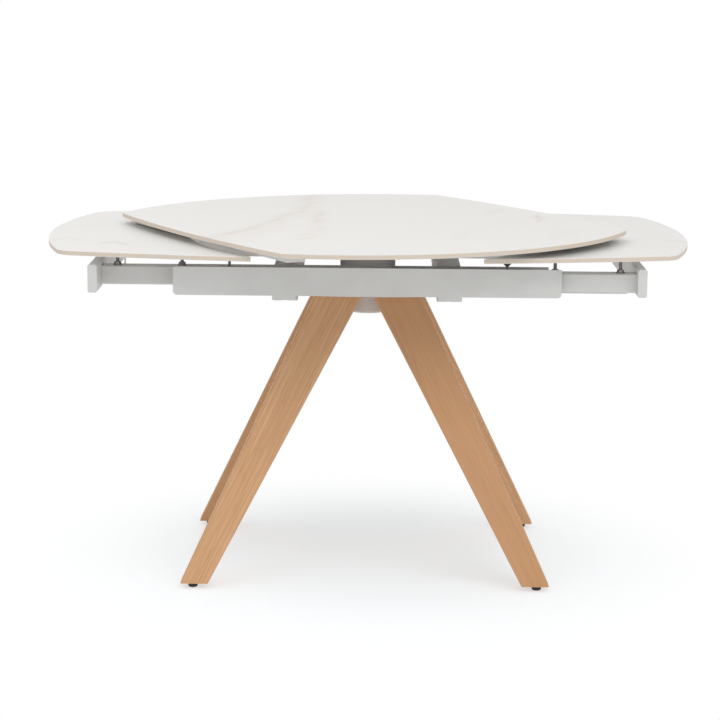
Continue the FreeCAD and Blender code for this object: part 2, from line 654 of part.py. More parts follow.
def make_rails():
    outer_bolt, inner_bolt = rail_bolt_places()
    inner_top = f"({INNER_RAIL_BASE} + inner_rail_height)"
    wall_top = f"({RAIL_TOP} - rail_wall_drop)"
    outer = ("rail_face", "outer_rail_width", "outer_rail_length")
    inner = (INNER_RAIL_FACE, "inner_rail_width", "inner_rail_length")
    for row_name, sy in (("front", -1), ("rear", 1)):
        rail = make_rail(f"outer_rail_{row_name}", sy, *outer, outer_bolt, "rail_base", "rail_height")
        low_wall = rectangle(f"{sy} * ({INNER_RAIL_FACE} - rail_wall)", wall_top,
                             f"{sy} * ({INNER_RAIL_FACE} + 2 * rail_wall)", f"{RAIL_TOP} + rail_wall")
        cut_through(rail, "YZ_Plane", [low_wall], "2 * outer_rail_length")
        make_rail(f"inner_rail_{row_name}", sy, *inner, inner_bolt, INNER_RAIL_BASE, "inner_rail_height")
    make_liners("outer_rail_liners", 1, *outer, "outer_tube_face", "rail_base", wall_top)
    make_liners("inner_rail_liners", -1, *inner, "inner_tube_face", INNER_RAIL_BASE, inner_top)
    top = "(cross_end + rail_wall)"
    head = "bolt_head_radius"
    bolt = turned("rail_bolt", [("0", "-bolt_head"), (head, "-bolt_head"), (head, "0"), ("bolt_radius", "0"),
                                ("bolt_radius", top), ("0", top)])
    rows = ((outer_bolt, "(rail_base - cross_end)"), (inner_bolt, f"({INNER_RAIL_BASE} - cross_end)"))
    group("rail_bolts", bolt, [(f"{sx} * cross_place", f"{sy} * {y}", seat)
                               for sx in (-1, 1) for sy in (-1, 1) for y, seat in rows])


def make_slides(side, sx, face):
    """The two hollow square tubes that carry a leaf."""
    wall = "tube_wall"
    outer = rectangle(f"{face} - tube_size", "tube_base", face, TUBE_TOP)
    inner = rectangle(f"{face} - tube_size + {wall}", f"tube_base + {wall}", f"{face} - {wall}",
                      f"{TUBE_TOP} - {wall}")
    middle = value(f"{face} - tube_size / 2")
    level = value("tube_base + tube_size / 2")
    reach = value("tube_size / 2") - 1e-3

    def corner(p):
        return abs(p.y - middle) > reach and abs(p.z - level) > reach
    master = extrude(f"{side}_slide", "YZ_Plane", outer, "tube_length", holes=[inner],
                     rounds=[(along("x", corner), "tube_corner")], midplane=True)
    middle_x = f"{sx} * (bar_face - bar_thickness - tube_length / 2)"
    group(f"{side}_slides", master, [(middle_x, "0", "0", "0"), (middle_x, "0", "0", "180")])


def make_end_bar(side, sx):
    """A hollow bar across a leaf's end, closed by plastic caps."""
    outer_face = f"{sx} * bar_face"
    inner_face = f"{sx} * (bar_face - bar_thickness)"
    low = "bar_base"
    high = "(bar_base + bar_height)"
    inset = f"{sx} * bar_wall"
    hollow = rectangle(f"{inner_face} + {inset}", f"{low} + bar_wall", f"{outer_face} - {inset}",
                       f"{high} - bar_wall")
    middle = value(f"{sx} * (bar_face - bar_thickness / 2)")
    level = value("bar_base + bar_height / 2")
    half = (value("bar_thickness / 2") - 1e-3, value("bar_height / 2") - 1e-3)

    def corner(p):
        return abs(p.x - middle) > half[0] and abs(p.z - level) > half[1]
    bar = extrude(f"{side}_end_bar", "XZ_Plane", rectangle(inner_face, low, outer_face, high), "2 * bar_half",
                  holes=[hollow], rounds=[(along("y", corner), "bar_corner")], midplane=True)
    node(bar, f"{side}_end_bar")
    outline = centred("bar_thickness", "bar_height", "0", "bar_base + bar_height / 2")
    plug = extrude(f"{side}_cap", "XZ_Plane", outline, "cap_thickness", rounds=[(along("y"), "bar_corner")])
    far = value("-cap_thickness") + 1e-3
    round_edges(plug, lambda edge: edge.CenterOfMass.y < far, "cap_rim_round")
    lock = new_sketch(plug, "XZ_Plane")
    draw_loop(lock, centred("(bar_thickness - 2 * bar_wall)", "(bar_height - 2 * bar_wall)", "0",
                            "bar_base + bar_height / 2"))
    stub = pad(plug, lock, "cap_depth")
    stub.Reversed = True
    doc.recompute()
    spot = f"{sx} * (bar_face - bar_thickness / 2)"
    group(f"{side}_end_caps", plug, [(spot, "-bar_half", "0", "0"), (spot, "bar_half", "0", "180")])


# Leaf supports
def make_leaf_supports(side, sx, face):
    """Studs, nuts and plates under a leaf, and the pads that the lowered panel rests on."""
    row_place = f"({face} - tube_size / 2)"
    spots = [(f"{sx} * {x}", f"{sy} * {row_place}") for x in ("outer_stud", "middle_stud") for sy in (-1, 1)]
    rise = f"({LEAF_UNDER} - plate_thickness - {TUBE_TOP})"
    stud = turned(f"{side}_stud", rectangle("0", "0", "stud_radius", rise))
    group(f"{side}_leaf_studs", stud, [(x, y, TUBE_TOP) for x, y in spots])
    hole = ("0", "0", "stud_radius + hole_play")
    nut = extrude(f"{side}_nut", "XY_Plane", hexagon("nut_across"), "nut_height", holes=[hole])
    flange = new_sketch(nut, "XY_Plane")
    draw_circle(flange, "0", "0", "nut_flange_radius")
    draw_circle(flange, *hole)
    pad(nut, flange, "nut_flange")
    doc.recompute()
    group(f"{side}_stud_nuts", nut, [(x, y, TUBE_TOP) for x, y in spots])
    plate = extrude(f"{side}_plate", "XY_Plane", centred("plate_side", "plate_side"), "plate_thickness",
                    rounds=[(along("z"), "plate_corner")])
    group(f"{side}_leaf_plates", plate, [(x, y, f"{LEAF_UNDER} - plate_thickness") for x, y in spots])
    top = f"({LEAF_UNDER} - pad_drop - {TUBE_TOP})"
    rim = f"({top} - pad_rim)"
    rest = turned(f"{side}_pad", [("0", "0"), ("pad_stem_radius", "0"),
                                  ("pad_stem_radius", f"{rim} - pad_cone"), ("pad_radius", rim),
                                  ("pad_radius", top), ("0", top)])
    group(f"{side}_panel_pads", rest,
          [(f"{sx} * pad_stud", f"{sy} * {row_place}", TUBE_TOP) for sy in (-1, 1)])


# Toothed wheel and racks
def involute_half_angle(radius, pitch, pressure, half_at_pitch):
    """Half the angle of an involute tooth at a radius, from its half angle at the pitch circle."""
    base = pitch * math.cos(pressure)
    at = math.acos(min(1, base / radius))
    return half_at_pitch + (math.tan(pressure) - pressure) - (math.tan(at) - at)


def tooth_levels():
    """Tip and root distances of the teeth from the pitch line."""
    module = value("tooth_module")
    return module, module + value("root_clearance")


def make_pinion():
    """The turntable's toothed wheel: involute teeth on a disc with a bore and lightening holes."""
    pitch = value(PITCH_RADIUS)
    count = int(value("pinion_teeth"))
    pressure = math.radians(value("pressure_angle"))
    tip, root = tooth_levels()
    half_at_pitch = (math.pi * pitch / count - value("tooth_backlash")) / (2 * pitch)
    radii = (pitch - root, pitch, pitch + tip)
    halves = [involute_half_angle(r, pitch, pressure, half_at_pitch) for r in radii]
    flank = list(zip(radii, halves))
    points = []
    for k in range(count):
        middle = 2 * math.pi * k / count - math.pi / 2
        for radius, half in [(r, -h) for r, h in flank] + flank[::-1]:
            at = middle + half
            points.append(FreeCAD.Vector(radius * math.cos(at), radius * math.sin(at), 0))
    disc = Part.Face(Part.Wire(Part.makePolygon(points + points[:1])))
    thickness = value("wheel_thickness")
    solid = disc.extrude(FreeCAD.Vector(0, 0, thickness))
    windows = round_places("wheel_windows", "wheel_window_place", start="90 / wheel_windows")
    screws = round_places("screw_count", "screw_circle")
    holes = [("0", "0", "wheel_bore"), (*stop_spot("0"), "stop_pin_radius")]
    holes += [(x, y, "wheel_window") for x, y, z in windows]
    holes += [(x, y, "screw_radius + hole_play") for x, y, z in screws]
    cuts = [Part.makeCylinder(value(radius), thickness, FreeCAD.Vector(value(x), value(y), 0))
            for x, y, radius in holes]
    wheel = doc.addObject("Part::Feature", "drive_wheel")
    wheel.Shape = solid.cut(cuts)
    place(wheel, z="wheel_base")
    node(wheel, "drive_wheel")


def make_rack(side, sx):
    """A bar with rack teeth facing the wheel, in mesh at rest and running out to the leaf's end bar.

    The right rack lies in front of the wheel and the left one behind it, so one turn drives both outwards."""
    pitch = value(PITCH_RADIUS)
    module = value("tooth_module")
    step = math.pi * module
    tip, root = tooth_levels()
    slope = math.tan(math.radians(value("pressure_angle")))
    start = value(f"{LEAF_TRAVEL} + rack_spare")
    finish = value(f"{LEAF_RETURN} + rack_spare")
    half_at_pitch = (step - value("tooth_backlash")) / 4
    first = -math.floor(start / step)
    last = math.floor(finish / step)
    profile = []
    for k in range(first, last):
        middle = (k + 0.5) * step
        at_root = half_at_pitch + root * slope
        at_tip = half_at_pitch - tip * slope
        profile += [(middle - at_root, root), (middle - at_tip, -tip), (middle + at_tip, -tip),
                    (middle + at_root, root)]
    depth = value("rack_depth")
    reach = value("bar_face - bar_thickness")
    profile = [(-start, depth), (-start, root)] + profile + [(reach, root), (reach, depth)]
    points = [FreeCAD.Vector(sx * x, -sx * (pitch + y), 0) for x, y in profile]
    face = Part.Face(Part.Wire(Part.makePolygon(points + points[:1])))
    rack = doc.addObject("Part::Feature", f"{side}_rack")
    rack.Shape = face.extrude(FreeCAD.Vector(0, 0, value("wheel_thickness")))
    place(rack, z="wheel_base")
    node(rack, f"{side}_rack")
    inner = f"{sx} * (bar_face - bar_thickness)"
    web = f"{inner} - {sx} * angle_wall"
    toe = f"{inner} - {sx} * angle_leg"
    high = f"({WHEEL_TOP} + angle_leg)"
    low = f"({WHEEL_TOP} + angle_wall)"
    outline = [(inner, WHEEL_TOP), (inner, high), (web, high), (web, low), (toe, low), (toe, WHEEL_TOP)]
    middle = f"{sx} * ({PITCH_RADIUS} + rack_depth - angle_width / 2)"
    angle = extrude(f"{side}_rack_angle", "XZ_Plane", outline, "angle_width", offset=middle, midplane=True)
    node(angle, f"{side}_rack_angle")


# Pivot, bearing and turntable
def make_pivot():
    shoulder = WASHER_BASE
    end = f"({shoulder} + post_end)"
    flange = f"({CROSS_BASE} + post_flange)"
    post = turned("pivot_post", [("0", CROSS_BASE), ("post_flange_radius", CROSS_BASE),
                                 ("post_flange_radius", flange), ("pedestal_radius", flange),
                                 ("pedestal_radius", POST_SEAT), ("post_radius", POST_SEAT),
                                 ("post_radius", shoulder), ("post_end_radius", shoulder),
                                 ("post_end_radius", end), ("0", end)])
    node(post, "pivot_post")
    hole = ("0", "0", "post_end_radius + hole_play")
    washer = turned("post_washer", rectangle("post_end_radius + hole_play", shoulder, "washer_radius",
                                             f"{shoulder} + washer_thickness"))
    node(washer, "post_washer")
    nut = extrude("post_nut", "XY_Plane", hexagon("post_nut_across"), "post_nut_height",
                  offset=f"{shoulder} + washer_thickness", holes=[hole])
    node(nut, "post_nut")


def make_race(label, seat, way):
    """A flat bearing race with a square groove that the balls run in."""
    face = f"({seat} + {way} * race_thickness)"
    reach = "((ball_radius + ball_play) * sqrt(2))"
    groove = f"({reach} - race_gap / 2)"
    race = turned(label, [("race_inner", seat), ("race_outer", seat), ("race_outer", face),
                          (f"ball_place + {groove}", face), ("ball_place", f"{BALL_LEVEL} - {way} * {reach}"),
                          (f"ball_place - {groove}", face), ("race_inner", face)])
    node(race, label)


def make_bearing():
    make_race("lower_race", POST_SEAT, 1)
    make_race("upper_race", WEB_BASE, -1)
    places = round_places("ball_count", "ball_place", BALL_LEVEL)
    cage = turned("ball_cage", rectangle("cage_inner", f"{BALL_LEVEL} - cage_thickness / 2", "cage_outer",
                                         f"{BALL_LEVEL} + cage_thickness / 2"))
    drill(cage, f"{BALL_LEVEL} + cage_thickness / 2",
          [(x, y, "ball_radius + ball_play") for x, y, z in places], "cage_thickness")
    node(cage, "ball_cage")
    ball = doc.addObject("Part::Sphere", "ball")
    bind(ball, "Radius", "ball_radius")
    group("bearing_balls", ball, places)


def make_drum():
    """The drum that carries the panel, with flanges, an inner web and a boss for the bush."""
    inside = "(drum_radius - drum_wall)"
    top = PANEL_BAR_BASE
    web_top = f"({WEB_BASE} + web_thickness)"
    low_flange = f"({WHEEL_TOP} + drum_flange)"
    high_flange = f"({top} - drum_flange)"
    rim = "drum_flange_radius"
    profile = [(inside, WHEEL_TOP), (rim, WHEEL_TOP), (rim, low_flange), ("drum_radius", low_flange),
               ("drum_radius", high_flange), (rim, high_flange), (rim, top), (inside, top), (inside, web_top),
               ("boss_radius", web_top), ("boss_radius", BOSS_TOP), ("bush_radius", BOSS_TOP),
               ("bush_radius", WEB_BASE), (inside, WEB_BASE)]
    drum = turned("turntable_drum", profile)
    holes = [(x, y, "screw_radius + hole_play") for x, y, z in round_places("screw_count", "screw_circle")]
    drill(drum, f"{WHEEL_TOP} + drum_flange", holes, "drum_flange")
    node(drum, "turntable_drum")
    bush = turned("pivot_bush", rectangle("post_radius + bush_play", WEB_BASE, "bush_radius", BOSS_TOP))
    node(bush, "pivot_bush")
    shank = "(drum_flange + wheel_thickness)"
    screw = turned("drum_screw", [("0", f"-{shank}"), ("screw_radius", f"-{shank}"), ("screw_radius", "0"),
                                  ("screw_head_radius", "0"), ("screw_head_radius", "screw_head"),
                                  ("0", "screw_head")])
    group("drum_screws", screw, round_places("screw_count", "screw_circle", f"{WHEEL_TOP} + drum_flange"))


def stop_spot(angle):
    """A place on the stop circle, at an angle past the stop pin's rest place."""
    at = f"((stop_angle + {angle}) * 1 deg)"
    return f"stop_place * cos({at})", f"stop_place * sin({at})"


def make_stops():
    """A pin in the wheel that meets a rubber buffer on the hub plate at each end of the turn."""
    low = f"({CROSS_BASE} + buffer_height / 3)"
    pin = turned("stop_pin", rectangle("0", low, "stop_pin_radius", WHEEL_TOP))
    place(pin, *stop_spot("0"))
    node(pin, "stop_pin")
    buffer = turned("buffer", rectangle("0", "0", "buffer_radius", "buffer_height"))
    reach = "(2 * asin((stop_pin_radius + buffer_radius + running_gap) / (2 * stop_place)) / 1 deg)"
    group("stop_buffers", buffer, [(*stop_spot(f"(open_angle + {reach})"), CROSS_BASE),
                                   (*stop_spot(f"(-close_angle - {reach})"), CROSS_BASE)])


def make_panel_frame():
    """Four flat bars between the drum and the panel."""
    for row_name, sy in (("front", -1), ("rear", 1)):
        bar = extrude(f"panel_bar_{row_name}", "XY_Plane",
                      centred("panel_bar_length", "panel_bar_width", "0", f"{sy} * panel_bar_place"),
                      "panel_bar_height", offset=PANEL_BAR_BASE, rounds=[(along("z"), "panel_bar_corner")])
        place(bar, turn="-open_angle")
        node(bar, f"panel_bar_{row_name}")
    for end, sx in (("left", -1), ("right", 1)):
        arm = extrude(f"panel_arm_{end}", "XY_Plane",
                      centred("panel_bar_width", "(2 * panel_bar_place - panel_bar_width)",
                              f"{sx} * panel_arm_place"),
                      "panel_bar_height", offset=PANEL_BAR_BASE)
        place(arm, turn="-open_angle")
        node(arm, f"panel_arm_{end}")


def make_table():
    make_legs()
    make_hub()
    make_rails()
    make_pivot()
    make_bearing()
    make_pinion()
    make_drum()
    make_stops()
    make_panel_frame()
    make_panel()
    for side, sx, face in (("left", -1, "inner_tube_face"), ("right", 1, "outer_tube_face")):
        make_cross_member(side, sx)
        make_leaf(side, sx)
        make_slides(side, sx, face)
        make_end_bar(side, sx)
        make_leaf_supports(side, sx, face)
        make_rack(side, sx)


def check_and_write():
    doc.recompute()
    for thing in doc.Objects:
        if "Invalid" in thing.State or "Error" in thing.State:
            raise RuntimeError(f"{thing.Label}: {thing.State}")
    for piece in nodes:
        if piece.Shape.isNull() or not piece.Shape.isValid():
            raise RuntimeError(f"{piece.Label}: not a valid shape")
    os.makedirs("parts", exist_ok=True)
    for piece in nodes:
        piece.Shape.exportStep(os.path.join("parts", f"{piece.Label}.step"))
        print(piece.Label, len(piece.Shape.Solids), round(piece.Shape.Volume / 1000, 2))


make_table()
check_and_write()
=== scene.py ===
import json
import math

import bpy
import numpy as np
from bpy.props import FloatProperty, FloatVectorProperty, IntProperty, PointerProperty
from mathutils import Matrix, Vector


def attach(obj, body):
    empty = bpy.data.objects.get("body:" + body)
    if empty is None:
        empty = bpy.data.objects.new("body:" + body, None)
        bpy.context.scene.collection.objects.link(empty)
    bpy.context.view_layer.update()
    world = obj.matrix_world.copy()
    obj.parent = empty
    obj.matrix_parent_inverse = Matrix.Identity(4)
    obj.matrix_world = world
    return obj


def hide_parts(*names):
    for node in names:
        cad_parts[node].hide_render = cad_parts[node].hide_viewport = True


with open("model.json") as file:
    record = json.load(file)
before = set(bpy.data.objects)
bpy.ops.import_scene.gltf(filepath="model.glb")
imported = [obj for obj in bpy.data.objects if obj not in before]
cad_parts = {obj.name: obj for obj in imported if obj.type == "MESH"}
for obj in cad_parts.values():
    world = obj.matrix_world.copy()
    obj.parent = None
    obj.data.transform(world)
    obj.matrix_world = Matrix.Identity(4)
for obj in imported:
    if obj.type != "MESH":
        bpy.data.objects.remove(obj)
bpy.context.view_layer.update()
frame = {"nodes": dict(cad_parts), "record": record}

bl_info = {
    "name": "Extending Table Finish",
    "version": (1, 0, 0),
    "blender": (4, 5, 0),
    "location": "3D View > Sidebar > Table",
    "description": "Finishes the extending dining table: stone boards, oak legs, powder coat and fittings",
    "category": "Object",
}

NODES = frame["nodes"]
BODY_OF = {node: body for body, group in frame["record"]["behaviour"]["bodies"].items() for node in group}
SLOT_OF = {part["node"]: part["material_slot"] for part in frame["record"]["subparts"]}

# Stains and fine lines in the boards as (half width, share of colour, points in plan), in metres at rest. A vein that
# runs off its board has its last point past the rim.
STAINS = {
    "panel_top": (
        (0.085, 0.80, ((-0.365, -0.439), (-0.285, -0.251), (-0.245, -0.179), (-0.215, -0.095))),
        (0.055, 0.85, ((-0.215, -0.095), (-0.200, 0.005), (-0.175, 0.123), (-0.157, 0.225), (-0.144, 0.352),
                       (-0.134, 0.662))),
        (0.042, 0.85, ((-0.188, 0.025), (-0.140, 0.136), (-0.118, 0.177), (-0.113, 0.089), (-0.117, -0.044))),
        (0.036, 0.70, ((-0.117, -0.044), (-0.105, -0.168), (-0.124, -0.274), (-0.141, -0.357))),
        (0.018, 0.95, ((0.393, 0.180), (0.388, -0.020))),
        (0.030, 0.50, ((0.262, 0.114), (0.318, 0.267))),
        (0.035, 0.40, ((0.178, -0.351), (0.212, -0.146))),
        (0.045, 0.50, ((0.404, -0.352), (0.448, -0.040))),
    ),
    "left_leaf_top": (
        (0.018, 0.85, ((-0.690, -0.178), (-0.652, -0.142), (-0.602, -0.174))),
        (0.018, 0.95, ((-0.578, -0.240), (-0.540, -0.202), (-0.504, -0.257))),
        (0.025, 0.50, ((-0.705, 0.083), (-0.566, 0.066))),
    ),
    "right_leaf_top": (
        (0.020, 0.80, ((0.487, 0.287), (0.523, 0.172))),
        (0.025, 0.50, ((0.649, -0.055), (0.721, -0.187))),
    ),
}
LINES = {
    "panel_top": (
        (0.017, 0.50, ((-0.397, -0.427), (-0.305, -0.253), (-0.267, -0.172), (-0.235, -0.081), (-0.210, 0.005))),
        (0.016, 0.38, ((-0.210, 0.005), (-0.181, 0.123), (-0.157, 0.225), (-0.144, 0.352), (-0.134, 0.662))),
        (0.014, 0.42, ((-0.118, 0.177), (-0.113, 0.089), (-0.117, -0.044))),
        (0.009, 0.55, ((0.393, 0.180), (0.388, -0.020))),
    ),
    "left_leaf_top": ((0.009, 0.70, ((-0.578, -0.240), (-0.540, -0.202), (-0.504, -0.257))),),
    "right_leaf_top": ((0.009, 0.50, ((0.487, 0.287), (0.523, 0.172))),),
}
# Share of the redder, darker oak in each leg. The front-right leg's share is its own redder wood. The rear-left leg's
# share is painted shade that darkens its side strip, which faces away from the light
LEG_TONES_AND_SHADE = {"leg_front_left": 0.0, "leg_front_right": 0.8, "leg_rear_left": 0.9, "leg_rear_right": 0.0}
STUD_GROUPS = ("left_leaf_studs", "right_leaf_studs")
STUDS_IN_GROUP = 4
BOLT_GROUP = "rail_bolts"
BOLTS_IN_GROUP = 8

WHITE = (1, 1, 1)
BLACK = (0, 0, 0)


def nodes_in(slot):
    """CAD nodes that the record gives a material slot."""
    return [node for node, name in SLOT_OF.items() if name == slot]


def colour(name, description, default):
    return FloatVectorProperty(name=name, description=description, default=default, size=3, min=0, max=1,
                               subtype="COLOR")


def length(name, description, default):
    return FloatProperty(name=name, description=description, default=default, min=0, unit="LENGTH", precision=5)


class TableStone(bpy.types.PropertyGroup):
    """Marble-look ceramic of the boards."""
    ground: colour("Ground", "Colour of the plain ceramic", (0.785, 0.775, 0.75))
    vein: colour("Vein", "Colour of the fine veins", (0.645, 0.578, 0.515))
    blush: colour("Blush", "Colour of the broad stains beside the veins", (0.75, 0.695, 0.65))
    rim: colour("Rim", "Colour of the cut edge", (0.715, 0.62, 0.52))
    faint: FloatProperty(name="Faint veins", description="Share of the hairs away from the veins", default=0.2,
                         min=0, max=1)
    gloss_roughness: FloatProperty(name="Roughness", description="Roughness of the face", default=0.42, min=0, max=1)
    rim_roughness: FloatProperty(name="Rim roughness", description="Roughness of the cut edge", default=0.75, min=0,
                                 max=1)


class TableOak(bpy.types.PropertyGroup):
    """Oiled oak of the legs."""
    pale: colour("Pale wood", "Colour between the pores", (0.80, 0.485, 0.275))
    # The redder oak's colour also serves as painted shade on the rear-left leg
    ruddy_and_shade: colour("Ruddy wood", "Colour between the pores of the redder oak", (0.64, 0.352, 0.19))
    dark: colour("Dark wood", "Colour of the late wood", (0.57, 0.32, 0.16))
    pore: colour("Pores", "Colour of the open pores", (0.38, 0.19, 0.09))
    sheen: FloatProperty(name="Sheen", description="Specular level of the oiled wood", default=0.08, min=0, max=1)


class TableFittings(bpy.types.PropertyGroup):
    """Powder coat, plastics and metals."""
    paint: colour("Powder coat", "Colour of the steel frame", (0.70, 0.70, 0.685))
    cap: colour("End cap", "Colour of the moulded end caps", (0.69, 0.69, 0.675))
    nylon: colour("Nylon", "Colour of slide liners and ball cage", (0.66, 0.65, 0.61))
    black: colour("Black plastic", "Colour of the foot glides", (0.018, 0.018, 0.019))
    rubber: colour("Rubber", "Colour of the stop buffers", (0.025, 0.025, 0.025))
    stud: colour("Studs", "Colour of the dark studs", (0.34, 0.325, 0.30))
    zinc: colour("Zinc", "Colour of bolts, racks and wheel", (0.58, 0.585, 0.59))
    bearing: colour("Bearing steel", "Colour of races and balls", (0.66, 0.665, 0.67))
    bronze: colour("Bronze", "Colour of the pivot bush", (0.52, 0.34, 0.16))


class TableThread(bpy.types.PropertyGroup):
    """Rolled thread of the leaf studs."""
    pitch: length("Pitch", "Rise of the thread in one turn", 0.00125)
    depth: length("Depth", "Depth of the thread", 0.0007)
    sides: IntProperty(name="Sides", description="Steps round a stud", default=20, min=8)
    steps: IntProperty(name="Steps", description="Steps along one turn", default=4, min=4)


class TableSocket(bpy.types.PropertyGroup):
    """Hexagon sockets of the bolts under the cross bars."""
    across: length("Across flats", "Width of the hexagon socket", 0.005)
    depth: length("Depth", "Depth of the socket", 0.0025)
    sides: IntProperty(name="Sides", description="Steps round a bolt, a multiple of six", default=48, min=12)


class TableStage(bpy.types.PropertyGroup):
    """Floor, light and camera."""
    floor: colour("Floor", "Colour of the pale floor for the light that it sends back", (0.86, 0.86, 0.86))
    shadow: colour("Seen floor", "Colour of the pale floor in the picture", (0.715, 0.76, 0.79))
    floor_lift: FloatProperty(name="Floor lift", description="Added white of the floor in the picture", default=0.34)
    floor_glow: FloatProperty(name="Floor glow", description="Added white that the floor sends back", default=0.1)
    near_floor: length("Near floor", "Distance within which the floor shows its shadow", 0.2)
    far_floor: length("Far floor", "Distance past which the floor is plain white", 0.85)
    sky: FloatProperty(name="Sky", description="Strength of the even light from all round", default=0.64)
    top_power: FloatProperty(name="Top light", description="Power of the overhead softbox", default=25, unit="POWER")
    front_power: FloatProperty(name="Front light", description="Power of the front softbox", default=68, unit="POWER")
    eye: FloatVectorProperty(name="Camera", description="Where the camera stands", default=(0.0147, -4.928, 1.370),
                             subtype="TRANSLATION", unit="LENGTH")
    heading: FloatProperty(name="Heading", description="Turn of the camera about the upright", default=0.0062,
                           subtype="ANGLE")
    pitch: FloatProperty(name="Pitch", description="Downward tilt of the camera", default=0.1831, subtype="ANGLE")
    roll: FloatProperty(name="Roll", description="Roll of the camera about its line of sight", default=0.0086,
                        subtype="ANGLE")
    lens: FloatProperty(name="Lens", description="Focal length on the square frame, in millimetres", default=110.214)


GROUPS = {"table_stone": TableStone, "table_oak": TableOak, "table_fittings": TableFittings,
          "table_thread": TableThread, "table_socket": TableSocket, "table_stage": TableStage}


# Shader building

class Shader:
    """A node tree with short calls to add, set and link nodes."""

    def __init__(self, tree):
        self.tree = tree

    def add(self, kind, inputs=None, **settings):
        node = self.tree.nodes.new(kind)
        for key, value in settings.items():
            setattr(node, key, value)
        for key, value in (inputs or {}).items():
            self.feed(node.inputs[key], value)
        return node

    def feed(self, socket, value):
        if isinstance(value, bpy.types.NodeSocket):
            self.tree.links.new(value, socket)
        elif hasattr(socket.default_value, "__len__") and len(socket.default_value) == 4 and len(value) == 3:
            socket.default_value = (*value, 1)
        else:
            socket.default_value = value

    def math(self, operation, first, second=0.0):
        return self.add("ShaderNodeMath", {0: first, 1: second}, operation=operation).outputs[0]

    def ramp(self, value, low, high, out_low=0.0, out_high=1.0):
        """Smooth step from one value to another while the given value goes from low to high."""
        node = self.add("ShaderNodeMapRange", {"Value": value, "From Min": low, "From Max": high,
                                               "To Min": out_low, "To Max": out_high},
                        interpolation_type="SMOOTHSTEP")
        return node.outputs[0]

    def scaled(self, value, share):
        return self.math("MULTIPLY", value, share)

    def mix(self, share, first, second):
        """Colour that goes from the first to the second with the share."""
        node = self.add("ShaderNodeMix", data_type="RGBA")
        for socket, value in ((0, share), (6, first), (7, second)):
            self.feed(node.inputs[socket], value)
        return node.outputs[2]

    def noise(self, vector, scale, detail=4.0, roughness=0.55, distortion=0.0):
        node = self.add("ShaderNodeTexNoise", {"Vector": vector, "Scale": scale, "Detail": detail,
                                               "Roughness": roughness, "Distortion": distortion})
        return node.outputs["Fac"]

    def stretch(self, vector, scale=(1, 1, 1), rotation=(0, 0, 0), location=(0, 0, 0)):
        node = self.add("ShaderNodeMapping", {"Vector": vector, "Scale": scale, "Rotation": rotation,
                                              "Location": location})
        return node.outputs[0]

    def levelness(self):
        """One on level faces and zero on upright ones: the normal's part along Z, either way."""
        normal = self.add("ShaderNodeNewGeometry").outputs["Normal"]
        return self.math("ABSOLUTE", self.add("ShaderNodeSeparateXYZ", {"Vector": normal}).outputs["Z"])


def effect(name, inputs, outputs, wire):
    """A shader node group with named sockets, wired by wire(shader, group inputs), which gives the outputs."""
    tree = bpy.data.node_groups.new(name, "ShaderNodeTree")
    for title, kind in inputs:
        tree.interface.new_socket(title, in_out="INPUT", socket_type=kind)
    for title, kind in outputs:
        tree.interface.new_socket(title, in_out="OUTPUT", socket_type=kind)
    shader = Shader(tree)
    source = shader.add("NodeGroupInput")
    target = shader.add("NodeGroupOutput")
    for title, socket in wire(shader, source.outputs).items():
        shader.feed(target.inputs[title], socket)
    return tree


def use_effect(shader, tree, **inputs):
    """Outputs of a node group that is placed with the given inputs."""
    return shader.add("ShaderNodeGroup", inputs, node_tree=tree).outputs


def blank_shader(owner):
    """Shader of a material or world, without nodes."""
    owner.use_nodes = True
    owner.node_tree.nodes.clear()
    return Shader(owner.node_tree)


def new_material(name):
    """A material, its shader and the Principled BSDF wired to its output."""
    material = bpy.data.materials.new(name)
    shader = blank_shader(material)
    surface = shader.add("ShaderNodeBsdfPrincipled")
    shader.add("ShaderNodeOutputMaterial", {"Surface": surface.outputs[0]})
    return material, shader, surface


def object_space(shader):
    return shader.add("ShaderNodeTexCoord").outputs["Object"]


def bump(shader, surface, height, distance):
    node = shader.add("ShaderNodeBump", {"Height": height, "Distance": distance, "Strength": 1.0})
    shader.feed(surface.inputs["Normal"], node.outputs[0])


def new_object(name, data):
    """An object in the scene that holds a mesh, light or camera."""
    obj = bpy.data.objects.new(name, data)
    bpy.context.scene.collection.objects.link(obj)
    return obj


def dress(obj, material):
    obj.data.materials.clear()
    obj.data.materials.append(material)


# Shared effects

VALUE = "NodeSocketFloat"
COLOUR = "NodeSocketColor"
VECTOR = "NodeSocketVector"
NOISE_MIDDLE = 0.5

# Part of a run of vein over which it tapers to each end
VEIN_TAPER = 0.3


def streak_effect():
    """Straight run of a vein: its share falls smoothly from the line between two points in plan to nothing at its
    width. Share and width are whole along the middle of the run, and go over to the given level at each end."""
    def wire(shader, given):
        def vector(operation, first, second):
            node = shader.add("ShaderNodeVectorMath", {0: first, 1: second}, operation=operation)
            return node.outputs["Value" if operation == "DOT_PRODUCT" else "Vector"]
        way = vector("SUBTRACT", given["To"], given["From"])
        gone = vector("SUBTRACT", vector("MULTIPLY", given["Vector"], (1, 1, 0)), given["From"])
        part = shader.math("DIVIDE", vector("DOT_PRODUCT", gone, way), vector("DOT_PRODUCT", way, way))
        held = shader.math("MINIMUM", shader.math("MAXIMUM", part, 0.0), 1.0)
        step = shader.add("ShaderNodeVectorMath", {0: way, "Scale": held}, operation="SCALE").outputs["Vector"]
        gap = shader.add("ShaderNodeVectorMath", {0: vector("SUBTRACT", gone, step)}, operation="LENGTH")
        level = shader.scaled(shader.ramp(held, 0.0, VEIN_TAPER, given["Start"], 1.0),
                              shader.ramp(held, 1.0 - VEIN_TAPER, 1.0, 1.0, given["End"]))
        reach = shader.scaled(given["Width"], level)
        return {"Share": shader.ramp(gap.outputs["Value"], 0.0, reach, level, 0.0)}
    return effect("Vein streak", [("Vector", VECTOR), ("From", VECTOR), ("To", VECTOR), ("Width", VALUE),
                                  ("Start", VALUE), ("End", VALUE)], [("Share", VALUE)], wire)


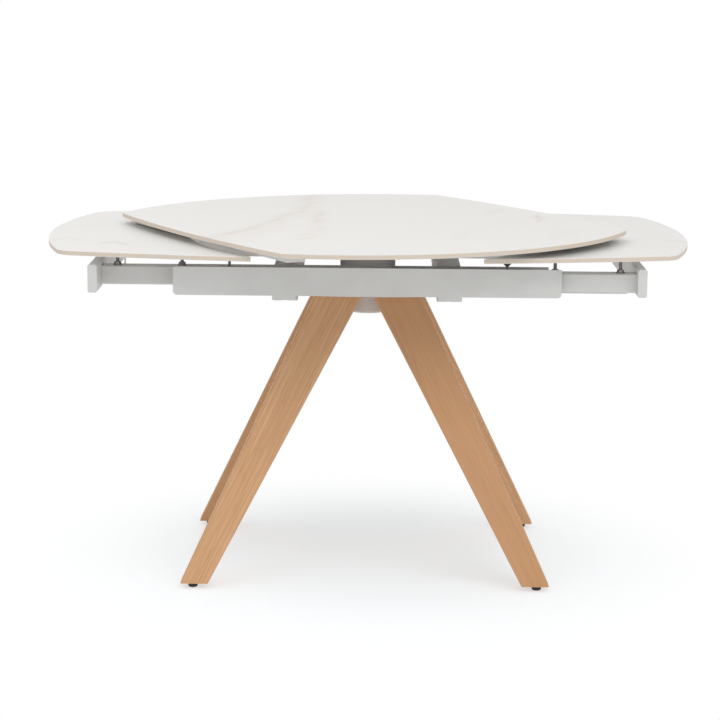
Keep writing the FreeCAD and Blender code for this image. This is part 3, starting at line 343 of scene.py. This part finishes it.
# Layers of the ceramic as (noise per metre, detail, roughness, ends of the smooth step)
STONE_LAYERS = {
    "patches": (1.5, 3.0, 0.5, (0.5, 0.7)),
    "clouds": (2.2, 5.0, 0.6, (0.35, 0.75)),
    "breaks": (26.0, 4.0, 0.6, (0.30, 0.62)),
}
CLOUD_SHARE = 0.2
# Share of a vein that is left where it is broken
VEIN_LEAST = 0.4
# Hairs run where a slanted noise (per metre, detail, roughness, distortion) is close to its middle
HAIR_STRETCH = (1.0, 2.6, 1.0)
HAIR_TURN = math.radians(-32)
HAIR_NOISE = (1.7, 7.0, 0.58, 1.1)
HAIR_WIDTH = 0.05
GLAZE_NOISE = (900.0, 2.0)


def stone_effect():
    """Veined ceramic: soft stains with a fine core along the given veins, and faint clouds and hairs elsewhere."""
    def wire(shader, given):
        place = given["Vector"]
        slant = shader.stretch(place, scale=HAIR_STRETCH, rotation=(0, 0, HAIR_TURN))
        field = shader.noise(slant, *HAIR_NOISE)
        off_hair = shader.math("ABSOLUTE", shader.math("SUBTRACT", field, NOISE_MIDDLE))
        hairs = shader.ramp(off_hair, 0.0, HAIR_WIDTH, 1.0, 0.0)
        masks = {layer: shader.ramp(shader.noise(place, scale, detail, roughness), *step)
                 for layer, (scale, detail, roughness, step) in STONE_LAYERS.items()}
        whole = shader.math("ADD", shader.scaled(masks["breaks"], 1 - VEIN_LEAST), VEIN_LEAST)
        faint = shader.scaled(shader.scaled(hairs, masks["patches"]), given["Amount"])
        stain = shader.math("MAXIMUM", shader.scaled(given["Stain"], whole), faint)
        ground = shader.mix(shader.scaled(masks["clouds"], CLOUD_SHARE), given["Ground"], given["Blush"])
        stained = shader.mix(stain, ground, given["Blush"])
        veined = shader.mix(shader.scaled(given["Line"], whole), stained, given["Vein"])
        return {"Color": veined, "Height": shader.noise(place, *GLAZE_NOISE)}
    return effect("Veined ceramic", [("Vector", VECTOR), ("Ground", COLOUR), ("Blush", COLOUR), ("Vein", COLOUR),
                                     ("Stain", VALUE), ("Line", VALUE), ("Amount", VALUE)],
                  [("Color", COLOUR), ("Height", VALUE)], wire)


# Layers of the oak as (noise per metre twice across the grain and once along it, detail, roughness, ends of the smooth
# step, share of the layer's colour)
OAK_LAYERS = {
    "drift": ((9, 9, 0.7), 2.0, 0.5, (0.3, 0.7), 0.12),
    "growth": ((290, 290, 3), 3.0, 0.55, (0.36, 0.66), 0.5),
    "fibres": ((430, 430, 9), 3.0, 0.6, (0.42, 0.66), 0.5),
    "pores": ((620, 620, 16), 2.0, 0.5, (0.60, 0.74), 0.42),
}
OAK_ROUGHNESS = 0.42
FIBRE_ROUGHNESS = 0.2
# Height of the fibres beside the depth of the pores
FIBRE_RISE = 0.35


def oak_effect():
    """Oak with its grain along Z: slow drift of tone, close growth lines, fine fibres and short dark pores."""
    def wire(shader, given):
        noises, masks, shares = {}, {}, {}
        for layer, (scale, detail, roughness, step, share) in OAK_LAYERS.items():
            noises[layer] = shader.noise(shader.stretch(given["Vector"], scale=scale), 1.0, detail, roughness)
            masks[layer] = shader.ramp(noises[layer], *step)
            shares[layer] = shader.scaled(masks[layer], share)
        tone = shader.math("ADD", shares["growth"], shares["drift"])
        wood = shader.mix(tone, given["Pale"], given["Dark"])
        wood = shader.mix(shares["fibres"], wood, given["Dark"])
        wood = shader.mix(shares["pores"], wood, given["Pore"])
        rough = shader.math("ADD", shader.scaled(noises["fibres"], FIBRE_ROUGHNESS), OAK_ROUGHNESS)
        height = shader.math("SUBTRACT", shader.scaled(noises["fibres"], FIBRE_RISE), masks["pores"])
        return {"Color": wood, "Roughness": rough, "Height": height}
    return effect("Oak grain", [("Vector", VECTOR), ("Pale", COLOUR), ("Dark", COLOUR), ("Pore", COLOUR)],
                  [("Color", COLOUR), ("Roughness", VALUE), ("Height", VALUE)], wire)


# Noise per metre and detail of the slow mottle, ends of its smooth step, and the span of roughness of the fine grain
MOTTLE_NOISE = (14.0, 3.0)
MOTTLE_STEP = (0.3, 0.7)
ROUGHNESS_SPAN = 0.16


def grain_effect():
    """Fine grain of coats, plastics and metals: a slow darkening, a shift of roughness and a height."""
    def wire(shader, given):
        place = given["Vector"]
        mottle = shader.ramp(shader.noise(place, *MOTTLE_NOISE), *MOTTLE_STEP)
        fine = shader.noise(place, given["Scale"], 2.0)
        tone = shader.mix(shader.scaled(mottle, given["Mottle"]), given["Color"], BLACK)
        shift = shader.scaled(shader.math("SUBTRACT", fine, NOISE_MIDDLE), ROUGHNESS_SPAN)
        rough = shader.math("ADD", given["Roughness"], shift)
        return {"Color": tone, "Roughness": rough, "Height": fine}
    return effect("Fine grain", [("Vector", VECTOR), ("Color", COLOUR), ("Scale", VALUE), ("Mottle", VALUE),
                                 ("Roughness", VALUE)],
                  [("Color", COLOUR), ("Roughness", VALUE), ("Height", VALUE)], wire)


EFFECTS = {"streak": streak_effect, "stone": stone_effect, "oak": oak_effect, "grain": grain_effect}
made_effects = {}


def shared_effect(name):
    if name not in made_effects:
        made_effects[name] = EFFECTS[name]()
    return made_effects[name]


def grain_material(name, tint, scale, mottle, roughness, depth, metallic):
    """A coat, plastic or metal with the shared fine grain."""
    material, shader, surface = new_material(name)
    look = use_effect(shader, shared_effect("grain"), Vector=object_space(shader), Color=tuple(tint), Scale=scale,
                      Mottle=mottle, Roughness=roughness)
    shader.feed(surface.inputs["Base Color"], look["Color"])
    shader.feed(surface.inputs["Roughness"], look["Roughness"])
    surface.inputs["Metallic"].default_value = metallic
    bump(shader, surface, look["Height"], depth)
    return material


# Surfaces

def mesh_piece(name, points, faces, material, node, smooth=True):
    """A new piece from points and faces, riding on and taking the finish of a CAD node."""
    mesh = bpy.data.meshes.new(name)
    mesh.from_pydata(points, [], faces)
    mesh.update()
    mesh.shade_smooth() if smooth else mesh.shade_flat()
    piece = new_object(name, mesh)
    dress(piece, material)
    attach(piece, BODY_OF[node])
    return piece


def ring_faces(rings, sides):
    """Quads between rings of points, with the last point of a ring joined to its first."""
    ring, side = np.meshgrid(np.arange(rings - 1), np.arange(sides), indexing="ij")
    after = (side + 1) % sides
    quads = np.stack([ring * sides + side, ring * sides + after, (ring + 1) * sides + after,
                      (ring + 1) * sides + side], axis=-1)
    return quads.reshape(-1, 4).tolist()


def tube_of_rings(rings):
    """Points and faces of a closed skin through rings (count, sides, 3), with each end closed by one face."""
    count, sides, axes = rings.shape
    faces = ring_faces(count, sides)
    faces.append(list(range(sides))[::-1])
    faces.append(list(range((count - 1) * sides, count * sides)))
    return rings.reshape(-1, axes), faces


def repeat_at(points, faces, spots):
    """The same skin at each of several places."""
    spread = points[None] + np.asarray(spots)[:, None]
    moved = [[index + k * len(points) for index in face] for k in range(len(spots)) for face in faces]
    return spread.reshape(-1, points.shape[1]), moved


def node_points(node):
    """Points of a CAD node's mesh, one row each."""
    mesh = NODES[node].data
    points = np.empty(len(mesh.vertices) * 3, np.float32)
    mesh.vertices.foreach_get("co", points)
    return points.reshape(-1, 3)


# Height above a leg's foot and below its head that counts as its end, in metres
LEG_END = 0.01


def leg_run(node):
    """Line from the middle of a leg's foot to the middle of its head."""
    points = node_points(node)
    ends = []
    for level in (points[:, 2].min(), points[:, 2].max()):
        end = points[np.abs(points[:, 2] - level) < LEG_END]
        ends.append((end.min(axis=0) + end.max(axis=0)) / 2)
    return Vector((ends[1] - ends[0]).tolist())


def upright_solids(node, count):
    """Radius and height of a CAD node's equal upright solids, and the foot of each one's middle line.

    The solids are told apart by grouping the node's points in plan round points that lie far from one another."""
    points = node_points(node)

    def gaps_to(seeds):
        return [np.linalg.norm(points[:, :2] - seed[:2], axis=1) for seed in seeds]
    seeds = [points[0]]
    for _ in range(1, count):
        seeds.append(points[np.min(gaps_to(seeds), axis=0).argmax()])
    nearest = np.argmin(gaps_to(seeds), axis=0)
    groups = [points[nearest == k] for k in range(count)]
    boxes = [(group.min(axis=0), group.max(axis=0)) for group in groups]
    low, high = boxes[0]
    feet = [((a[0] + b[0]) / 2, (a[1] + b[1]) / 2, a[2]) for a, b in boxes]
    return float(high[0] - low[0]) / 2, float(high[2] - low[2]), feet


# Finishing steps

# Levelness of a face at which the boards' cut edge starts to go over to glaze, and at which it has
EDGE_LEVEL = (0.35, 0.6)
# Depths of bump, in metres
CERAMIC_BUMP = 0.00003
OAK_BUMP = 0.00008
# Level that a vein's share and width fall to at an end that meets no other vein
VEIN_TIP = 0.05
# Noise of the sway in the veins, and its reach in metres
SWAY_NOISE = {"Scale": 9.0, "Detail": 5.0, "Roughness": 0.62}
SWAY_REACH = 0.06


class TABLE_OT_stone(bpy.types.Operator):
    """Give the boards their veined ceramic and cut edges"""
    bl_idname = "table.stone"
    bl_label = "Stone Boards"

    def execute(self, context):
        look = context.scene.table_stone
        for node in STAINS:
            material, shader, surface = new_material(f"ceramic_{node}")
            place = object_space(shader)
            vein = use_effect(shader, shared_effect("stone"), Vector=place, Ground=tuple(look.ground),
                              Blush=tuple(look.blush), Vein=tuple(look.vein),
                              Stain=strongest(shader, place, STAINS[node]),
                              Line=strongest(shader, place, LINES[node]), Amount=look.faint)
            edge = shader.ramp(shader.levelness(), *EDGE_LEVEL, 1.0, 0.0)
            shader.feed(surface.inputs["Base Color"], shader.mix(edge, vein["Color"], tuple(look.rim)))
            rough = shader.ramp(edge, 0.0, 1.0, look.gloss_roughness, look.rim_roughness)
            shader.feed(surface.inputs["Roughness"], rough)
            bump(shader, surface, vein["Height"], CERAMIC_BUMP)
            dress(NODES[node], material)
        return {"FINISHED"}


def strongest(shader, place, veins):
    """Largest share of several veins at a place that is pushed about a little, so that no vein runs straight."""
    sway = shader.add("ShaderNodeTexNoise", {"Vector": place, **SWAY_NOISE})
    push = shader.add("ShaderNodeVectorMath", {0: sway.outputs["Color"], 1: (NOISE_MIDDLE,) * 3}, operation="SUBTRACT")
    reach = shader.add("ShaderNodeVectorMath", {0: push.outputs[0], "Scale": SWAY_REACH}, operation="SCALE")
    moved = shader.add("ShaderNodeVectorMath", {0: place, 1: reach.outputs[0]}, operation="ADD").outputs[0]
    met = [point for _, _, points in veins for point in points]
    largest = 0.0
    for width, share, points in veins:
        levels = [VEIN_TIP if met.count(point) == 1 and point in (points[0], points[-1]) else 1.0 for point in points]
        for k in range(len(points) - 1):
            streak = use_effect(shader, shared_effect("streak"), Vector=moved, From=(*points[k], 0),
                                To=(*points[k + 1], 0), Width=width, Start=levels[k], End=levels[k + 1])
            largest = shader.math("MAXIMUM", largest, shader.scaled(streak["Share"], share))
    return largest


class TABLE_OT_oak(bpy.types.Operator):
    """Give each leg oak with its grain along the leg"""
    bl_idname = "table.oak"
    bl_label = "Oak Legs"

    def execute(self, context):
        look = context.scene.table_oak
        for k, (node, share) in enumerate(LEG_TONES_AND_SHADE.items()):
            turn = leg_run(node).rotation_difference(Vector((0, 0, 1))).to_euler()
            material, shader, surface = new_material(f"oak_{node}")
            elsewhere = (k, 2 * k, 3 * k)  # so that no two legs have the same grain
            place = shader.stretch(object_space(shader), rotation=turn, location=elsewhere)
            # On the rear-left leg, the redder oak mixed in here is painted shade, not a tone of its wood
            pale = tuple(look.pale * (1 - share) + look.ruddy_and_shade * share)
            wood = use_effect(shader, shared_effect("oak"), Vector=place, Pale=pale, Dark=tuple(look.dark),
                              Pore=tuple(look.pore))
            shader.feed(surface.inputs["Base Color"], wood["Color"])
            shader.feed(surface.inputs["Roughness"], wood["Roughness"])
            surface.inputs["Specular IOR Level"].default_value = look.sheen
            bump(shader, surface, wood["Height"], OAK_BUMP)
            dress(NODES[node], material)
        return {"FINISHED"}


class TABLE_OT_fittings(bpy.types.Operator):
    """Give the frame its powder coat, and the plastic and metal fittings their finish"""
    bl_idname = "table.fittings"
    bl_label = "Frame and Fittings"

    def execute(self, context):
        look = context.scene.table_fittings
        # Colour, grain per metre, mottle, roughness, depth of bump in metres and metallic of each slot
        finishes = {
            "white_paint": (look.paint, 700, 0.05, 0.48, 0.00004, 0.0),
            "cap_plastic": (look.cap, 900, 0.03, 0.45, 0.00003, 0.0),
            "nylon": (look.nylon, 500, 0.05, 0.5, 0.00003, 0.0),
            "black_plastic": (look.black, 900, 0.0, 0.5, 0.00005, 0.0),
            "buffer_rubber": (look.rubber, 600, 0.0, 0.75, 0.00005, 0.0),
            "dark_steel": (look.stud, 800, 0.2, 0.42, 0.00002, 1.0),
            "zinc_steel": (look.zinc, 400, 0.15, 0.38, 0.00002, 1.0),
            "bearing_steel": (look.bearing, 300, 0.05, 0.2, 0.00001, 1.0),
            "bronze": (look.bronze, 300, 0.15, 0.4, 0.00002, 1.0),
        }
        for slot, finish in finishes.items():
            material = grain_material(f"finish_{slot}", *finish)
            for node in nodes_in(slot):
                dress(NODES[node], material)
        return {"FINISHED"}


class TABLE_OT_studs(bpy.types.Operator):
    """Cut a rolled thread on the leaf studs"""
    bl_idname = "table.studs"
    bl_label = "Threaded Studs"

    def execute(self, context):
        thread = context.scene.table_thread
        for node in STUD_GROUPS:
            radius, rise, feet = upright_solids(node, STUDS_IN_GROUP)
            points, faces = repeat_at(*threaded_rod(radius, rise, thread), feet)
            piece = mesh_piece(f"{node}_threaded", points, faces, NODES[node].data.materials[0], node)
            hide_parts(node)
        return {"FINISHED"}


def threaded_rod(radius, rise, thread):
    """Rod whose radius falls by the thread's depth and back once a pitch, turned on by a pitch in each turn.

    r(a, z) = radius - depth * |2 * frac(z / pitch - a / 2 pi) - 1|"""
    sides = thread.sides
    rings = int(rise / thread.pitch * thread.steps) + 1
    angle = np.arange(sides) * 2 * math.pi / sides
    level = np.linspace(0, rise, rings)
    turn, height = np.meshgrid(angle, level)
    phase = (height / thread.pitch - turn / (2 * math.pi)) % 1
    reach = radius - thread.depth * np.abs(2 * phase - 1)
    return tube_of_rings(np.stack([reach * np.cos(turn), reach * np.sin(turn), height], axis=-1))


class TABLE_OT_bolts(bpy.types.Operator):
    """Give the bolts under the cross bars domed heads with hexagon sockets"""
    bl_idname = "table.bolts"
    bl_label = "Socket Bolts"

    def execute(self, context):
        socket = context.scene.table_socket
        node = BOLT_GROUP
        radius, rise, feet = upright_solids(node, BOLTS_IN_GROUP)
        points, faces = repeat_at(*socket_bolt(radius, rise, socket), feet)
        piece = mesh_piece(f"{node}_socketed", points, faces, NODES[node].data.materials[0], node, smooth=False)
        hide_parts(node)
        return {"FINISHED"}


# Height of a bolt's head and radius of its shank as shares of the head's radius, and the shank's play in metres
HEAD_RISE = 4 / 7
SHANK_SHARE = 4 / 7
SHANK_PLAY = 0.00005
# Dome of a bolt's head from its flat to its rim, as (share of the head's radius, share of its height)
DOME = ((0.62, 0.0), (0.86, 0.12), (0.97, 0.38), (1.0, 0.7), (1.0, 1.0))


def socket_bolt(radius, rise, socket):
    """Bolt standing on its head, as rings from the bottom of the socket to the end of the shank.

    The socket's rings follow a hexagon, r(a) = across / 2 / cos(a folded to 30 degrees each way), and the dome's
    rings are circles."""
    angle = np.arange(socket.sides) * 2 * math.pi / socket.sides
    folded = (angle + math.pi / 6) % (math.pi / 3) - math.pi / 6
    hexagon = socket.across / 2 / np.cos(folded)
    circle = np.ones_like(angle)
    head = radius * HEAD_RISE
    shank = radius * SHANK_SHARE - SHANK_PLAY
    rings = [(hexagon, socket.depth), (hexagon, 0.0)]
    rings += [(circle * radius * reach, head * level) for reach, level in DOME]
    rings += [(circle * shank, head), (circle * shank, rise)]
    skin = np.stack([np.stack([reach * np.cos(angle), reach * np.sin(angle), np.full_like(angle, z)], axis=-1)
                     for reach, z in rings])
    return tube_of_rings(skin)


# Softboxes as (size, place, aim), in metres
TOP_SOFTBOX = ((3.0, 2.4), (-1.4, -0.6, 3.2), (0, 0, 0.6))
FRONT_SOFTBOX = ((5.0, 2.5), (2.2, -3.3, 4.0), (0, 0, 0.45))
# Half width of the floor and the farthest that the camera sees, in metres
FLOOR_REACH = 30.0
SIGHT_REACH = 200


class TABLE_OT_stage(bpy.types.Operator):
    """Set the floor, the soft light and the camera"""
    bl_idname = "table.stage"
    bl_label = "Stage"

    def execute(self, context):
        stage = context.scene.table_stage
        make_floor(stage)
        make_light(context.scene, stage)
        make_camera(context.scene, stage)
        context.scene.view_settings.view_transform = "Standard"
        return {"FINISHED"}


def seen_rays(shader):
    """One for the camera's own rays and for mirror and glass rays, and zero for other light."""
    path = shader.add("ShaderNodeLightPath").outputs
    mirrored = shader.math("MAXIMUM", path["Is Glossy Ray"], path["Is Transmission Ray"])
    return shader.math("MAXIMUM", path["Is Camera Ray"], mirrored)


def make_floor(stage):
    """Pale floor that shows the table's shadow near it and is plain white farther off."""
    corners = [(x * FLOOR_REACH, y * FLOOR_REACH, 0) for x, y in ((-1, -1), (1, -1), (1, 1), (-1, 1))]
    mesh = bpy.data.meshes.new("floor")
    mesh.from_pydata(corners, [], [(0, 1, 2, 3)])
    floor = new_object("floor", mesh)
    material = bpy.data.materials.new("floor")
    shader = blank_shader(material)
    seen = seen_rays(shader)
    matt = shader.add("ShaderNodeBsdfDiffuse", {"Color": shader.mix(seen, tuple(stage.floor), tuple(stage.shadow))})
    glow = shader.add("ShaderNodeMapRange", {"Value": seen, "To Min": stage.floor_glow, "To Max": stage.floor_lift})
    lift = shader.add("ShaderNodeEmission", {"Color": WHITE, "Strength": glow.outputs[0]})
    both = shader.add("ShaderNodeAddShader", {0: matt.outputs[0], 1: lift.outputs[0]})
    plain = shader.add("ShaderNodeEmission", {"Color": WHITE, "Strength": 1.0})
    distance = shader.add("ShaderNodeVectorMath", {0: object_space(shader)}, operation="LENGTH").outputs["Value"]
    far = shader.ramp(distance, stage.near_floor, stage.far_floor)
    ground = shader.add("ShaderNodeMixShader", {0: shader.scaled(far, seen), 1: both.outputs[0], 2: plain.outputs[0]})
    shader.add("ShaderNodeOutputMaterial", {"Surface": ground.outputs[0]})
    dress(floor, material)


def softbox(name, power, size, place, aim):
    """Area light at a place, turned towards its aim."""
    light = bpy.data.lights.new(name, "AREA")
    light.shape = "RECTANGLE"
    light.size, light.size_y = size
    light.energy = power
    way = Vector(aim) - Vector(place)
    turn = way.to_track_quat("-Z", "Y").to_matrix().to_4x4()
    new_object(name, light).matrix_world = Matrix.Translation(place) @ turn


def make_light(scene, stage):
    """Two softboxes, and a world that is white to the eye and lights the table evenly."""
    softbox("top_softbox", stage.top_power, *TOP_SOFTBOX)
    softbox("front_softbox", stage.front_power, *FRONT_SOFTBOX)
    world = bpy.data.worlds.new("studio")
    scene.world = world
    shader = blank_shader(world)
    strength = shader.add("ShaderNodeMapRange", {"Value": seen_rays(shader), "To Min": stage.sky, "To Max": 1.0})
    white = shader.add("ShaderNodeBackground", {"Color": WHITE, "Strength": strength.outputs[0]})
    shader.add("ShaderNodeOutputWorld", {"Surface": white.outputs[0]})


def make_camera(scene, stage):
    """Camera from its place, heading, pitch and roll."""
    heading, pitch, roll = stage.heading, stage.pitch, stage.roll
    forward = Vector((-math.sin(heading) * math.cos(pitch), math.cos(heading) * math.cos(pitch), -math.sin(pitch)))
    level = Vector((math.cos(heading), math.sin(heading), 0))
    upright = level.cross(forward)
    right = level * math.cos(roll) + upright * math.sin(roll)
    up = upright * math.cos(roll) - level * math.sin(roll)
    data = bpy.data.cameras.new("camera")
    data.lens = stage.lens
    data.sensor_fit = "HORIZONTAL"
    data.clip_end = SIGHT_REACH
    turn = Matrix((right, up, -forward)).transposed().to_4x4()
    scene.camera = new_object("camera", data)
    scene.camera.matrix_world = Matrix.Translation(stage.eye) @ turn


OPERATORS = (TABLE_OT_stone, TABLE_OT_oak, TABLE_OT_fittings, TABLE_OT_studs, TABLE_OT_bolts, TABLE_OT_stage)


class TABLE_PT_finish(bpy.types.Panel):
    """Sidebar panel that lists the finishing steps and their values"""
    bl_idname = "TABLE_PT_finish"
    bl_label = "Extending Table"
    bl_space_type = "VIEW_3D"
    bl_region_type = "UI"
    bl_category = "Table"

    def draw(self, context):
        for operator in OPERATORS:
            self.layout.operator(operator.bl_idname)
        for name, group in GROUPS.items():
            box = self.layout.box()
            box.label(text=group.__doc__)
            values = getattr(context.scene, name)
            for prop in group.__annotations__:
                box.prop(values, prop)


CLASSES = (*GROUPS.values(), *OPERATORS, TABLE_PT_finish)


def register():
    for kind in CLASSES:
        bpy.utils.register_class(kind)
    for name, group in GROUPS.items():
        setattr(bpy.types.Scene, name, PointerProperty(type=group))


def unregister():
    for name in GROUPS:
        delattr(bpy.types.Scene, name)
    for kind in reversed(CLASSES):
        bpy.utils.unregister_class(kind)


def main():
    register()
    bpy.ops.table.stone()
    bpy.ops.table.oak()
    bpy.ops.table.fittings()
    bpy.ops.table.studs()
    bpy.ops.table.bolts()
    bpy.ops.table.stage()


if __name__ == "__main__":
    main()
